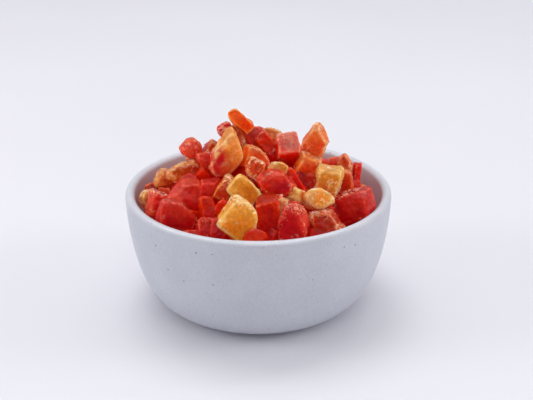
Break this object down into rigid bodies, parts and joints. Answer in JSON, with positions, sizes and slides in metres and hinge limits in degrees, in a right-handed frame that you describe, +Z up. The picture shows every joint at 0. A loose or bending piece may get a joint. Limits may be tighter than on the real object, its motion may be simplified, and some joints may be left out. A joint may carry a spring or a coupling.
{
  "type": "bowl of diced papaya",
  "caption": "Small round stoneware bowl heaped with unevenly diced candied papaya, rising in a mound above the rim.",
  "frame": {"origin": "centre of the bowl's flat foot, on the surface it stands on", "axes": "+Z up along the bowl's axis; -Y is the front of the heap, +X its right"},
  "size_m": [0.12, 0.12, 0.0898],
  "materials": {
    "stoneware": "satin pale blue-grey stoneware glaze with sparse fine dark specks",
    "candied_papaya": "translucent candied fruit, red to yellow, satin, sugar-frosted at the edges",
    "red_papaya": "translucent red candied fruit, satin",
    "orange_papaya": "translucent orange candied fruit, satin",
    "yellow_papaya": "translucent golden yellow candied fruit, sugar-frosted"
  },
  "bodies": {
    "root": {"bowl": "stoneware", "diced_papaya": "candied_papaya"}
  },
  "joints": []
}
